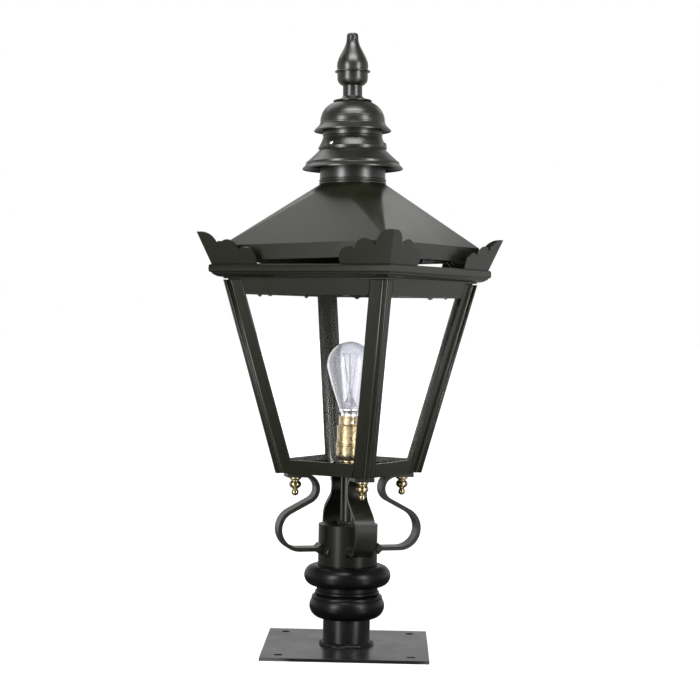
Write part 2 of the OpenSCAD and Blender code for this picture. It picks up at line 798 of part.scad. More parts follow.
module holder_cup() {
    color("#b5934a") head() rotate_extrude() polygon(concat(
        [[conduit_r + pin_fit, cup_z], [conduit_r + 2.6, cup_z], [conduit_r + 2.6, cup_z + 5]],
        arc([conduit_r - 1.4, cup_rim - 9], 7.8, -62, 0, 6) + [for (i = [0 : 6]) [0, 0]],
        [[barrel_r + 0.4, cup_rim], [barrel_r - 2.2, cup_rim], [barrel_r - 2.2, cup_rim - 6],
            [conduit_r + pin_fit, cup_z + 11]]));
}

module holder_ring() {
    color("#b5934a") head() rotate_extrude() polygon([[barrel_r - 1 + pin_fit, cup_rim],
        [barrel_r + 0.9, cup_rim], [barrel_r + 1, cup_rim + 2.4], [barrel_r + 0.3, cup_rim + 3],
        [barrel_r + 1, cup_rim + 3.6], [barrel_r + 1, cup_rim + 5.6], [barrel_r + 0.3, cup_rim + 6.2],
        [barrel_r + 1, cup_rim + 6.8], [barrel_r + 0.7, ring_top], [barrel_r - 1 + pin_fit, ring_top]]);
}

// Bayonet slots: down from the rim, then round to where the lamp's pins rest
module bayonet_slots() {
    w = 2 * pin_r + 0.7;
    for (i = [0, 180]) {
        rotate([0, 0, pin_rest_a + i]) {
            rotate([0, 0, bayonet_turn]) translate([shell_r - 1, -w / 2, pin_z - w / 2])
                cube([holder_wall + 4, w, holder_top - pin_z + w]);
            rotate([0, 0, -7]) rotate_extrude(angle = bayonet_turn + 7) translate([shell_r - 1, pin_z - w / 2])
                square([holder_wall + 4, w]);
        }
    }
}

module holder_barrel() {
    upper_r = holder_bore + holder_wall;
    color("#b5934a") head() difference() {
        rotate_extrude() polygon([[barrel_r - 2.2, cup_rim], [barrel_r - 1, cup_rim], [barrel_r - 1, ring_top],
            [barrel_r, ring_top], [barrel_r, holder_top - 14.6], [barrel_r + 0.5, holder_top - 14],
            [barrel_r + 0.5, holder_top - 12.6],
            [upper_r + 0.6, holder_top - 11.4], [upper_r, holder_top - 10.6],
            [upper_r, holder_top], [holder_bore, holder_top], [holder_bore, lamp_z - 12],
            [barrel_r - 2.2, lamp_z - 15]]);
        bayonet_slots();
    }
}

module holder_core() {
    color("#e8e2d2") head() difference() {
        union() {
            ring_of(barrel_r - 2.2, conduit_r - 3, cup_rim - 6, lamp_z - 15);
            translate([0, 0, lamp_z - 17]) cylinder(r = holder_bore - 0.15, h = core_top - lamp_z + 17);
        }
        for (x = [-contact_x, contact_x]) {
            rotate([0, 0, pin_rest_a + 90]) translate([x, 0, core_top - 9])
                cylinder(r = 1.75 + pin_fit, h = 9 + past);
        }
    }
}

module plungers() {
    color("#c9b16a") head() for (x = [-contact_x, contact_x]) {
        rotate([0, 0, pin_rest_a + 90]) translate([x, 0, core_top - 9 + plunger_travel + 0.4])
            cylinder(r = 1.75, h = lamp_z - 0.3 - (core_top - 9 + plunger_travel + 0.4));
    }
}

// Bulb: a flare that swells a little on its way from the cap to the round top
function bulb_neck(to, by) =
    [for (i = [0 : 8]) let (s = i / 9, share = s + 0.04 * sin(180 * s))
        [shell_r + 1.1 - by + (to[0] - shell_r - 1.1) * share, lamp_z + 20.5 + (to[1] - lamp_z - 20.5) * s]];
function bulb_outline(by) = concat(
    bulb_neck([0, lamp_top - bulb_d / 2] + bulb_d / 2 * [cos(20), -sin(20)], by),
    arc([0, lamp_top - bulb_d / 2], bulb_d / 2 - by, -20, 90, 20));

module bulb_glass() {
    wall = 0.8;
    color("#e6e8ee", 0.35) head() rotate_extrude()
        polygon(concat(bulb_outline(0), backward(bulb_outline(wall))));
}

module bulb_cap() {
    color("#c8c8c6") head() {
        rotate_extrude() polygon([[shell_r, lamp_z + 1.5], [shell_r, lamp_z + 18],
            [shell_r + 1.2, lamp_z + 20.5],
            [shell_r + 2.4, lamp_z + 22.5], [shell_r + 2.4, lamp_z + 24], [shell_r + 1.9, lamp_z + 24],
            [shell_r + 1.3, lamp_z + 22.2], [shell_r + 0.5, lamp_z + 20.2], [shell_r - 0.5, lamp_z + 18.2],
            [shell_r - 0.5, lamp_z + 1.5]]);
        for (i = [0, 180]) {
            rotate([0, 0, pin_rest_a + i]) translate([shell_r - 0.5, 0, pin_z]) rotate([0, 90, 0])
                cylinder(r = pin_r, h = 2.7);
        }
    }
}

module bulb_contacts() {
    color("#2a2a2c") head() difference() {
        translate([0, 0, lamp_z + 0.6]) cylinder(r = shell_r - 0.5, h = 3);
        for (x = [-contact_x, contact_x]) {
            rotate([0, 0, pin_rest_a + 90]) translate([x, 0, lamp_z]) cylinder(r = 0.6, h = 3 + past);
        }
    }
    color("#b9b9b4") head() for (x = [-contact_x, contact_x]) {
        rotate([0, 0, pin_rest_a + 90]) translate([x, 0, lamp_z]) cylinder(r1 = 1.6, r2 = 2.2, h = 0.6);
    }
}

module bulb_stem() {
    seal = lamp_z + 21;
    color("#dfe4ea", 0.5) head() rotate_extrude() polygon(concat([[0, seal], [shell_r + 0.8, seal]],
        ogee([10.6, seal + 1], [3.4, seal + 22], 8), [[2, seal + 26], [1.4, seal + 30], [1.4, seal + 55],
            [2.6, seal + 56], [2.6, seal + 58], [0, seal + 59]]));
}

module filament() {
    level = lamp_top - 16;
    low = lamp_z + 43;
    wire = 0.35;
    spread = 10.5;
    color("#8f8f8c") head() {
        translate([0, 0, level]) rotate([0, 0, 70]) rotate_extrude(angle = 220) translate([spread, 0])
            circle(r = 0.45, $fn = 16);
        for (m = [70, 290]) {
            rotate([0, 0, m]) translate([2.4, 0, low]) rotate([0, atan((spread - 2.4) / (level - low)), 0])
                cylinder(r = wire, h = norm([spread - 2.4, level - low]), $fn = 16);
        }
    }
}

// Square at the skirt and round at the chimney
module roof_mass(grow) {
    hull() {
        translate([-roof_half, -roof_half, fold_z - 0.01]) cube([2 * roof_half, 2 * roof_half, 0.01]);
        translate([0, 0, neck_z - 0.01]) cylinder(r = neck_r + grow, h = 0.01, $fn = 64);
    }
}

module roof_shell() {
    inner = roof_half - roof_t;
    drop = roof_t / cos(atan(roof_rise / (roof_half - neck_r)));
    color("#4f514a") ajar_roof() difference() {
        union() {
            roof_mass(1.3);
            translate([-roof_half, -roof_half, skirt_z]) cube([2 * roof_half, 2 * roof_half, skirt_h]);
        }
        translate([-inner, -inner, skirt_z - past]) cube([2 * inner, 2 * inner, skirt_h + past - drop]);
        intersection() {
            translate([0, 0, -drop]) roof_mass(1.3);
            translate([-inner, -inner, skirt_z]) cube([2 * inner, 2 * inner, roof_rise + 2 * skirt_h]);
        }
        translate([0, 0, neck_z - 12]) cylinder(r = neck_r - spun_t, h = 20);
    }
}

// The neck draws in at its top to a collar that centres the drum
module roof_neck() {
    color("#45473f") ajar_roof() difference() {
        rotate_extrude() difference() {
            union() {
                translate([neck_r - spun_t, neck_z]) square([spun_t, chimney_h]);
                translate([collar_r - spun_t, drum_z - spun_t]) square([neck_r - collar_r + spun_t, spun_t]);
                translate([collar_r - spun_t, drum_z - spun_t]) square([spun_t, drum_flare_h * 0.65 + spun_t]);
                for (i = [0, 1]) {
                    translate([neck_r - 0.8, neck_z + neck_bead * (i + 0.5)]) circle(r = neck_bead / 2);
                }
            }
            translate([0, neck_z - past]) square([neck_r - spun_t, neck_bead * 3]);
        }
        drum_screw_holes();
    }
}

module canopy() {
    r = canopy_r;
    top = chimney_h - 1.4;
    low = top - canopy_h;
    step_r = r - 4.4;
    t = spun_t;
    outer = concat([[r, low], [r, low + 1.4]], flare([r - 0.4, low + 1.8], [step_r, low + 6.2], 1.2, 4),
        [[step_r - 0.1, low + 8.6], [step_r - 0.9, low + 9.4]],
        flare([step_r - 1.6, low + 9.6], [neck_r + 1.6, top - 1], 1.06, 5), [[neck_r, top]]);
    inner = [[neck_r, top - 1.7 * t], [neck_r + 1, top - 2 * t],
        [step_r - 2.2, low + 8.6], [step_r - t, low + 7.6],
        [step_r - t, low + 5.6], [r - 1.2 - t, low + 1.4], [r - t, low + 1], [r - t, low]];
    color("#45473f") ajar_roof() translate([0, 0, neck_z]) rotate_extrude() polygon(concat(outer, inner));
}

function drum_outline(by) = concat(
    [[drum_foot_r - by, drum_z + (by > 0 ? by : 0)], [drum_foot_r - by, drum_z + 2]],
    flare([drum_foot_r - 0.4 - by, drum_z + 2.4], [drum_waist_r - by, waist_z], 1.4, curve_n),
    [[drum_waist_r - 0.5 - by, waist_z + 0.4], [drum_waist_r + 0.3 - by, waist_z + 1.2]]);

module vent_drum() {
    top = dome_z + sqrt(pow(shoulder_r - spun_t, 2) - pow(drum_waist_r + 0.3 - shoulder_x, 2));
    color("#45473f") ajar_roof() difference() {
        rotate_extrude() polygon(concat([[neck_r - spun_t, drum_z]], drum_outline(0),
            [[drum_waist_r + 0.3, top], [drum_waist_r + 0.3 - spun_t, top]], backward(drum_outline(spun_t)),
            [[neck_r - spun_t, drum_z + spun_t]]));
        for (i = [0 : vent_n - 1]) {
            rotate([0, 0, 360 / vent_n * i]) translate([drum_waist_r - spun_t - 2 * past, 0, vent_z])
                rotate([0, 90, 0]) cylinder(d = vent_d, h = spun_t + 4 * past);
        }
        drum_screw_holes();
    }
}

// Three screws clamp the drum to the collar of the neck
module at_drum_screws() {
    for (i = [0 : 2]) {
        rotate([0, 0, drum_screw_a + 120 * i]) translate([drum_screw_r, 0, drum_screw_z])
            rotate([0, 90 - drum_screw_tilt, 0]) children();
    }
}

module drum_screw_holes() {
    at_drum_screws() translate([0, 0, -drum_screw_l - past])
        cylinder(d = drum_screw_d + 2 * hole_fit, h = drum_screw_l + 2 * past);
}

module drum_screws() {
    color("#c9c9c4") ajar_roof() at_drum_screws() {
        translate([0, 0, -drum_screw_l]) cylinder(d = drum_screw_d, h = drum_screw_l + 0.5);
        translate([0, 0, 0.3]) domed_head(drum_screw_d * 0.95, drum_screw_d * 0.6);
    }
}

function dome_outline(by) = concat([[dome_rim_d / 2 - by, dome_rim_z]],
    flare([dome_rim_d / 2 - by, dome_rim_z + 1.4], [dome_r + 0.7 - by, dome_rim_z + 9.2], 1.15, 5),
    [[dome_r + 0.7 - by, dome_rim_z + 10.2], [dome_r - by, dome_rim_z + 11]],
    arc([shoulder_x, dome_z], shoulder_r - by, 0, crown_a, curve_n),
    arc([0, dome_z - crown_drop], crown_r - by, crown_a + 3, 90, 4));

module dome() {
    color("#45473f") ajar_roof() difference() {
        rotate_extrude() polygon(concat(dome_outline(0), backward(dome_outline(spun_t))));
        translate([0, 0, dome_z]) cylinder(d = spindle_d + 2 * hole_fit, h = dome_h * 2);
    }
}

// Turned cap plate, hollow underneath to sit on the crown of the dome
module finial_cap() {
    color("#45473f") ajar_roof() rotate_extrude() difference() {
        polygon([[spindle_d / 2 + hole_fit, cap_edge_z], [cap_r - 0.4, cap_edge_z], [cap_r, cap_edge_z + 0.5],
            [cap_r, cap_edge_z + 1.4], [cap_r - 0.8, cap_edge_z + 2.1], [cap_r * 0.76, cap_edge_z + 2.9],
            [stem_r + 1.6, cap_top - 1.8], [stem_r + 0.7, cap_top - 0.8], [stem_r + 0.5, cap_top],
            [spindle_d / 2 + hole_fit, cap_top]]);
        polygon(concat([[0, dome_z]], dome_outline(0)));
    }
}

// Height shares of the finial: stem, cup, ring, swelling body, drawn-in neck and rounded tip
module finial() {
    k = finial_k;
    z = cap_top;
    ring_z = z + 30.8 * k;
    tip_z = z + finial_h;
    bowl_r = finial_r - 0.5;
    bowl_bend = 9.5;
    color("#4a4c45") ajar_roof() difference() {
        rotate_extrude() polygon(concat([[0, z], [stem_r, z], [stem_r, z + 13.2 * k]],
            arc([bowl_r - bowl_bend, z + 23 * k], bowl_bend, -62, 0, 7),
            [[bowl_r, ring_z - 0.4], [finial_ring_d / 2 - 0.4, ring_z], [finial_ring_d / 2, ring_z + 0.5],
                [finial_ring_d / 2, ring_z + 1.3], [finial_ring_d / 2 - 0.5, ring_z + 1.8],
                [finial_r - 0.7, ring_z + 2.4]],
            ogee([finial_r, z + 38.6 * k], [tip_r, z + 74.5 * k], 16), [[tip_r - 0.2, tip_z - 3.2]],
            arc([tip_r - 3.4, tip_z - 3.2], 3.2, 15, 90, 5), [[0, tip_z]]));
        translate([0, 0, z - past]) cylinder(d = spindle_d + 2 * pin_fit, h = 16 + past);
    }
}

module spindle() {
    color("#7c7d78") ajar_roof() translate([0, 0, neck_z + 2])
        cylinder(d = spindle_d, h = cap_top + 15.5 - neck_z - 2);
}

module spindle_bridge() {
    z = neck_z + 12;
    color("#3b3d37") ajar_roof() difference() {
        intersection() {
            translate([-chimney_d / 2, -10, z]) cube([chimney_d, 20, 3]);
            translate([0, 0, z - past]) cylinder(r = neck_r - spun_t, h = 3 + 2 * past);
        }
        translate([0, 0, z - past]) cylinder(d = spindle_d + 2 * hole_fit, h = 3 + 2 * past);
    }
}

module spindle_nuts() {
    z = neck_z + 12;
    color("#8b8c86") ajar_roof() difference() {
        union() {
            translate([0, 0, z - 6]) cylinder(d = 15, h = 6, $fn = 6);
            translate([0, 0, z + 3]) cylinder(d = 15, h = 5, $fn = 6);
        }
        translate([0, 0, z - 7]) cylinder(d = spindle_d + 2 * pin_fit, h = 20);
    }
}

// Knuckles of one leaf: every other stretch along the pin
module knuckles(first) {
    pitch = hinge_l / knuckle_n;
    for (i = [first : 2 : knuckle_n - 1]) {
        translate([hinge_x, -hinge_l / 2 + i * pitch + run_gap / 2, hinge_z]) rotate([-90, 0, 0])
            cylinder(r = knuckle_r, h = pitch - run_gap);
    }
}

module knuckle_webs(first, low, high, from, to) {
    pitch = hinge_l / knuckle_n;
    for (i = [first : 2 : knuckle_n - 1]) {
        translate([from, -hinge_l / 2 + i * pitch + run_gap / 2, low])
            cube([to - from, pitch - run_gap, high - low]);
    }
}

module pin_bore() {
    translate([hinge_x, -hinge_l, hinge_z]) rotate([-90, 0, 0])
        cylinder(d = hinge_pin_d + 2 * pin_fit, h = 2 * hinge_l);
}

module hinge_leaf_lower() {
    edge = hinge_x - knuckle_r - run_gap;
    color("#3a3c35") head() difference() {
        union() {
            knuckles(0);
            knuckle_webs(0, cornice_top, cornice_top + hinge_leaf_t, edge - 0.1, hinge_x);
            translate([-cornice_half + 3, -hinge_l / 2, cornice_top])
                cube([edge + cornice_half - 3, hinge_l, hinge_leaf_t]);
        }
        pin_bore();
    }
}

module hinge_leaf_upper() {
    low = hinge_z + knuckle_r + run_gap;
    color("#3a3c35") ajar_roof() difference() {
        union() {
            knuckles(1);
            knuckle_webs(1, hinge_z, low + 0.1, -roof_half - hinge_leaf_t, -roof_half);
            translate([-roof_half - hinge_leaf_t, -hinge_l / 2, low])
                cube([hinge_leaf_t, hinge_l, skirt_h * 0.6]);
        }
        pin_bore();
    }
}

module hinge_pin() {
    color("#8b8c86") head() translate([hinge_x, -hinge_l / 2, hinge_z]) rotate([-90, 0, 0]) {
        translate([0, 0, -1.4]) cylinder(d = hinge_pin_d, h = hinge_l + 2.8);
        for (z = [-1.4, hinge_l + 0.4]) {
            translate([0, 0, z]) cylinder(d = knuckle_d - 1, h = 1);
        }
    }
}

// The catch: a strip pivoted under a bracket inside the skirt, with a tongue bent down behind the cornice
catch_face = flange_in - 0.9;
catch_x = catch_face - 5.5;
catch_y = -catch_pin_off;
catch_bend_y = catch_y + catch_l;
catch_shelf_z = skirt_z + 10;
catch_pin_r = catch_pin_d / 2;
catch_tab_w = 28;

module catch_bracket() {
    color("#77796f") ajar_roof() difference() {
        union() {
            translate([roof_half - roof_t - 1.2, catch_y - catch_tab_w / 2, skirt_z + 2])
                cube([1.2, catch_tab_w, 14]);
            translate([catch_x - 5, catch_y - 8, catch_shelf_z])
                cube([roof_half - roof_t - catch_x + 5, 16, 1.2]);
        }
        translate([catch_x, catch_y, catch_shelf_z - past]) cylinder(r = catch_pin_r, h = 1.2 + 2 * past);
    }
}

module catch_pin() {
    color("#a9aaa2") ajar_roof() translate([catch_x, catch_y, catch_shelf_z]) {
        translate([0, 0, -2.7]) cylinder(r = catch_pin_r, h = 5.1);
        translate([0, 0, 1.2]) cylinder(r = catch_pin_r + 1.3, h = 1.2);
        translate([0, 0, -3.7]) cylinder(r = catch_pin_r + 1.3, h = 1);
    }
}

module spring_catch() {
    tab_z = skirt_z - 4.5;
    strip_z = skirt_z - 1.8;
    tip_z = strip_z - tongue_drop;
    bend = catch_bend_y;
    h = catch_strip_h;
    end = bend + tongue_l;
    color("#b3b4ab") ajar_roof() difference() {
        union() {
            translate([catch_x - 4, catch_y - 5, catch_shelf_z - 1.8])
                cube([catch_face - catch_x + 4, 10, 1.4]);
            translate([catch_face - 1, catch_y - catch_tab_w / 2, tab_z])
                cube([1, catch_tab_w, catch_shelf_z - 0.4 - tab_z]);
            translate([catch_face - 1, catch_y, strip_z]) cube([1, catch_l, h]);
            translate([catch_face - 1, 0, 0]) rotate([90, 0, 90]) linear_extrude(1)
                polygon([[bend - 2, strip_z], [bend - 2, strip_z + h], [bend + 2, strip_z + h],
                    [end, tip_z + h * 0.8], [end + 2, tip_z], [end - 4, tip_z], [bend + 1, strip_z]]);
        }
        translate([catch_x, catch_y, catch_shelf_z - 5]) cylinder(r = catch_pin_r + pin_fit, h = 6);
    }
}

base_plate();
pedestal_tube();
tube_weld();
moulding();
column_socket();
socket_screws();
arm(0);  // arm_front
arm(1);  // arm_right
arm(2);  // arm_back
arm(3);  // arm_left
finial_nuts();
foot_studs();
floor_tray();
bottom_rails();
post(0);  // post_front
post(1);  // post_right
post(2);  // post_back
post(3);  // post_left
top_rails();
cornice();
corner_ears();
ear_rivets();
pane(3);  // pane_front
pane(0);  // pane_right
pane(1);  // pane_back
pane(2);  // pane_left
glass_clips();
clip_screws();
conduit();
conduit_nuts();
earth_screw();
holder_cup();
holder_ring();
holder_barrel();
holder_core();
plungers();
bulb_glass();
bulb_cap();
bulb_contacts();
bulb_stem();
filament();
roof_shell();
roof_neck();
canopy();
vent_drum();
drum_screws();
dome();
finial_cap();
finial();
spindle();
spindle_bridge();
spindle_nuts();
hinge_leaf_lower();
hinge_leaf_upper();
hinge_pin();
catch_bracket();
catch_pin();
spring_catch();
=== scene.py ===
# %% [markdown]
# # A pillar lantern
# A tapered glass lantern with a vented roof stands on a short tube with a square foot. Its metal is
# painted a soft greenish black, so nearly everything that the eye reads is gloss: broad pale
# reflections that slide over dark paint. The solids come ready as a frame, in metres, with +Z up.
# The cells below set up the camera and the studio, give each solid its finish, and then add the
# pieces whose detail is finer than the solids: the planed corner posts, the weld and the filament.

# %% Load the frame
import math

import bmesh
import bpy
from mathutils import Matrix, Vector


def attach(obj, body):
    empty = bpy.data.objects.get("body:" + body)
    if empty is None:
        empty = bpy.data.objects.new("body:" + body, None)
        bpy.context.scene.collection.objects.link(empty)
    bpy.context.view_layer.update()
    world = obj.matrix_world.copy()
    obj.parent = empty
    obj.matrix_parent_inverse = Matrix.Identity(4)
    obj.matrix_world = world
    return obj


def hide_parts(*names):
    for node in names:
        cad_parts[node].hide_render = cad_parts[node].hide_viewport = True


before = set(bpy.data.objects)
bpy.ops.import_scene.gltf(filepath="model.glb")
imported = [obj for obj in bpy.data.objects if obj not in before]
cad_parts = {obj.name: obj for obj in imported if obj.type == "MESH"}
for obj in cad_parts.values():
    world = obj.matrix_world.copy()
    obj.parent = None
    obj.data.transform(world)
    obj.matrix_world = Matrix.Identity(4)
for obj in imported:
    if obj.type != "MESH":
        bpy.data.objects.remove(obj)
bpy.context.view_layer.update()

# %% [markdown]
# ## Camera
# The photograph was taken from a little over two metres away, at about the middle of the lantern.
# A camera could be aimed by eye, but a place and a lens worked out from the plate's corners, the
# tube's width and the heights keep every proportion. The lantern in the picture leans a little to
# the right. The camera is rolled by a degree for it, so that the lantern itself can stand straight.

# %% Camera
LENS_PIXELS, FRAME_PIXELS, SENSOR, SHIFT_PIXELS = 1771.6, 700, 36, -1.2
DISTANCE, EYE_HEIGHT = 2.2749, 0.4236
SIDE_TURN, TILT_DOWN, ROLL = math.radians(1.22), math.radians(1.03), math.radians(1.0)

camera_data = bpy.data.cameras.new("camera")
camera_data.sensor_width = SENSOR
camera_data.lens = LENS_PIXELS / FRAME_PIXELS * SENSOR
camera_data.shift_x = SHIFT_PIXELS / FRAME_PIXELS
camera = bpy.data.objects.new("camera", camera_data)
camera.matrix_world = (
    Matrix.Translation((DISTANCE * math.sin(SIDE_TURN), -DISTANCE * math.cos(SIDE_TURN), EYE_HEIGHT))
    @ Matrix.Rotation(SIDE_TURN, 4, "Z")
    @ Matrix.Rotation(math.radians(90) - TILT_DOWN, 4, "X")
    @ Matrix.Rotation(ROLL, 4, "Z")
)
bpy.context.scene.collection.objects.link(camera)
bpy.context.scene.camera = camera
bpy.context.scene.view_settings.view_transform = "Standard"
print("lens", round(camera_data.lens, 1), "mm")

# %% [markdown]
# ## Soft boxes
# Dark satin paint has almost no colour of its own: the eye reads it by what it mirrors. One broad
# lamp would grey the whole lantern, so there are five small ones, each where one kind of surface
# mirrors it. Two upright boxes beside the camera draw the two pale bars down every turned piece. A
# dim wide box behind and above lies in the roof's slopes, where the chimney's own reflection cuts it
# off to near black under the neck. A bright one over the front crowns dome, drum and canopy, and a
# small one behind gives the far edges a rim. The glow of each is the brightness of its surface.

# %% Soft boxes
AIM_HEIGHT, LEFT_TURN, RIGHT_TURN = 0.42, -39, 47


def soft_box(name, turn, rise, far, size, glow):
    """An area light seen from the lantern at a turn and a rise in degrees, with a set surface glow."""
    turn, rise = math.radians(turn), math.radians(rise)
    toward = Vector((math.sin(turn) * math.cos(rise), -math.cos(turn) * math.cos(rise), math.sin(rise)))
    data = bpy.data.lights.new(name, "AREA")
    data.shape, data.size, data.size_y = "RECTANGLE", size[0], size[1]
    data.energy = glow * math.pi * size[0] * size[1]
    box = bpy.data.objects.new(name, data)
    box.location = Vector((0, 0, AIM_HEIGHT)) + toward * far
    box.rotation_euler = toward.to_track_quat("Z", "Y").to_euler()
    bpy.context.scene.collection.objects.link(box)
    print(name, "gives", round(data.energy, 1), "watts")


soft_box("left_box", LEFT_TURN, 10, 1.75, (0.36, 1.1), 19.0)
soft_box("right_box", RIGHT_TURN, 14, 1.75, (0.36, 1.1), 16.0)
soft_box("roof_box", -148, 52, 1.6, (1.2, 0.9), 1.6)
soft_box("crown_box", 4, 60, 1.6, (1.2, 0.45), 14.0)
soft_box("rear_box", 148, 37, 1.25, (0.3, 0.22), 1.5)

# %% [markdown]
# ## Small tools for node trees
# World, floor, paint and metal are all small programs of nodes. Making each node takes three or four
# lines, and the same four kinds come up again and again: arithmetic, a change of range, a mix of two
# colours and a noise. A helper for each keeps the trees readable as formulas.

# %% Arithmetic and ranges
def math_in(tree, kind, *values):
    """A Math node; a value is a number or the output of another node."""
    node = tree.nodes.new("ShaderNodeMath")
    node.operation = kind
    for socket, value in zip(node.inputs, values):
        if isinstance(value, (int, float)):
            socket.default_value = value
        else:
            tree.links.new(value, socket)
    return node.outputs[0]


def map_in(tree, value, low, high, to_low=0.0, to_high=1.0, smooth=False):
    """A Map Range node: low..high becomes to_low..to_high, held at both ends."""
    ramp = tree.nodes.new("ShaderNodeMapRange")
    ramp.interpolation_type = "SMOOTHSTEP" if smooth else "LINEAR"
    for label, number in (("From Min", low), ("From Max", high), ("To Min", to_low), ("To Max", to_high)):
        ramp.inputs[label].default_value = number
    tree.links.new(value, ramp.inputs["Value"])
    return ramp.outputs["Result"]


def parts_in(tree, vector):
    """The X, Y and Z of a vector, each by its name."""
    split = tree.nodes.new("ShaderNodeSeparateXYZ")
    tree.links.new(vector, split.inputs[0])
    return split.outputs


print("arithmetic ready")


# %% Colours and noise
def grey(level):
    return (level, level, level, 1)


def mix_in(tree, share, first, second):
    """A colour between two others; each is a colour or the output of another node."""
    mix = tree.nodes.new("ShaderNodeMix")
    mix.data_type = "RGBA"
    tree.links.new(share, mix.inputs["Factor"])
    for label, color in (("A", first), ("B", second)):
        if isinstance(color, tuple):
            mix.inputs[label].default_value = color
        else:
            tree.links.new(color, mix.inputs[label])
    return mix.outputs["Result"]


def noise_in(tree, place, scale, detail=3.0, rough=0.55):
    noise = tree.nodes.new("ShaderNodeTexNoise")
    for label, number in (("Scale", scale), ("Detail", detail), ("Roughness", rough)):
        noise.inputs[label].default_value = number
    tree.links.new(place, noise.inputs["Vector"])
    return noise.outputs["Fac"]


print("colours and noise ready")

# %% [markdown]
# ## The room
# The lens, and whatever it sees through glass, meets plain white paper. Paint and brass mirror a
# studio instead: grey-white behind the lantern, dimmer overhead, and dark round the camera. That dark
# side is what turns the faces of tube, socket and arms nearly black where they look back at the lens.
# Everything else gets a weak even fill. A picture of a room could do this too, but two smooth ramps
# over the direction are enough. The glass loses a tenth of the light, so the white seen through it is
# a tenth brighter, and a pane keeps no grey edge against the paper.

# %% What the paint mirrors
world = bpy.data.worlds.new("studio")
bpy.context.scene.world = world
world.use_nodes = True
studio = world.node_tree
studio.nodes.clear()
way = parts_in(studio, studio.nodes.new("ShaderNodeTexCoord").outputs["Generated"])
behind = map_in(studio, way["Y"], -0.6, 0.4, 0.05, 0.75, smooth=True)
overhead = map_in(studio, way["Z"], 0.15, 0.6, 1.0, 0.3, smooth=True)
mirrored_room = math_in(studio, "MULTIPLY", behind, overhead)
print("room mapped with", len(studio.nodes), "nodes")


# %% World
def background(strength, color=grey(1)):
    node = studio.nodes.new("ShaderNodeBackground")
    node.inputs["Color"].default_value = color
    if isinstance(strength, float):
        node.inputs["Strength"].default_value = strength
    else:
        studio.links.new(strength, node.inputs["Strength"])
    return node.outputs[0]


def pick_shader(tree, share, first, second):
    mix = tree.nodes.new("ShaderNodeMixShader")
    for socket, output in zip(mix.inputs, (share, first, second)):
        tree.links.new(output, socket)
    return mix.outputs[0]


ray = studio.nodes.new("ShaderNodeLightPath").outputs
white = background(math_in(studio, "MULTIPLY_ADD", ray["Is Transmission Ray"], 0.1, 1.0))
fill = background(0.25, (0.92, 0.95, 1.0, 1))
for_lantern = pick_shader(studio, ray["Is Glossy Ray"], fill, background(mirrored_room))
to_lens = math_in(studio, "MAXIMUM", ray["Is Camera Ray"], ray["Is Transmission Ray"])
world_out = studio.nodes.new("ShaderNodeOutputWorld")
studio.links.new(pick_shader(studio, to_lens, for_lantern, white), world_out.inputs["Surface"])
print("world set with", len(studio.nodes), "nodes")

# %% [markdown]
# ## Floor
# The floor is one sheet of white paper that runs on for ever. For light it is plain grey-white. For
# the lens and through the glass a glow lifts it to white: only in part near the lantern, where the
# thin shadow under the plate has to stay, and fully a step away, so that no line shows where the
# paper ends. The faces of the tapered body lean outward and so mirror the floor. A white floor would
# flatten them, so paint and brass see a painted floor: painted shade close by, a glow that grows pale
# further out, and a bright glowing stripe toward each upright box, a painted reflection of that soft
# box as it would show in a shiny table.

# %% Lay the floor
floor_mesh = bmesh.new()
bmesh.ops.create_circle(floor_mesh, cap_ends=True, segments=64, radius=30)
floor_data = bpy.data.meshes.new("floor")
floor_mesh.to_mesh(floor_data)
floor = bpy.data.objects.new("floor", floor_data)
floor.location = (0, 0, -0.0003)
bpy.context.scene.collection.objects.link(floor)
print("floor laid")

# %% What the floor shows
floor_paper = bpy.data.materials.new("floor_paper")
floor_paper.use_nodes = True
sheet = floor_paper.node_tree
place = sheet.nodes.new("ShaderNodeTexCoord").outputs["Object"]
length = sheet.nodes.new("ShaderNodeVectorMath")
length.operation = "LENGTH"
sheet.links.new(place, length.inputs[0])
reach = length.outputs["Value"]
to_white = map_in(sheet, reach, 0.15, 0.75, 0.72, 1.0, smooth=True)
# Seen in paint and brass only: painted shade close to the lantern, fading into a pale glow further out.
mirrored = map_in(sheet, reach, 0.5, 1.8, 0.02, 0.6)
spot = parts_in(sheet, place)
turn = math_in(sheet, "ARCTAN2", spot["X"], math_in(sheet, "MULTIPLY", spot["Y"], -1.0))
# A glowing stripe toward each upright box: a painted reflection of that soft box in the floor.
BOX_REFLECTION_EDGE, BOX_REFLECTION_CORE, BOX_REFLECTION_GLOW = math.radians(9), math.radians(3), 4.0
for box_turn in (LEFT_TURN, RIGHT_TURN):
    apart = math_in(sheet, "ABSOLUTE", math_in(sheet, "SUBTRACT", turn, math.radians(box_turn)))
    painted_box_reflection = map_in(sheet, apart, BOX_REFLECTION_EDGE, BOX_REFLECTION_CORE, 0.0, BOX_REFLECTION_GLOW, smooth=True)
    mirrored = math_in(sheet, "ADD", mirrored, painted_box_reflection)
print("floor mapped with", len(sheet.nodes), "nodes")

# %% Floor paper
paper = sheet.nodes["Principled BSDF"]
paper.inputs["Roughness"].default_value = 0.9
paper.inputs["Emission Color"].default_value = grey(1)
ray = sheet.nodes.new("ShaderNodeLightPath").outputs
to_lens = math_in(sheet, "MAXIMUM", ray["Is Camera Ray"], ray["Is Transmission Ray"])
glow = math_in(sheet, "MULTIPLY_ADD", ray["Is Glossy Ray"], mirrored, math_in(sheet, "MULTIPLY", to_lens, to_white))
sheet.links.new(glow, paper.inputs["Emission Strength"])
# In reflections the floor's own colour drops to near black: painted shade, so that only the painted glow shows there.
sheet.links.new(mix_in(sheet, ray["Is Glossy Ray"], grey(0.45), grey(0.05)), paper.inputs["Base Color"])
floor_data.materials.append(floor_paper)
print("floor_paper mixed with", len(sheet.nodes), "nodes")

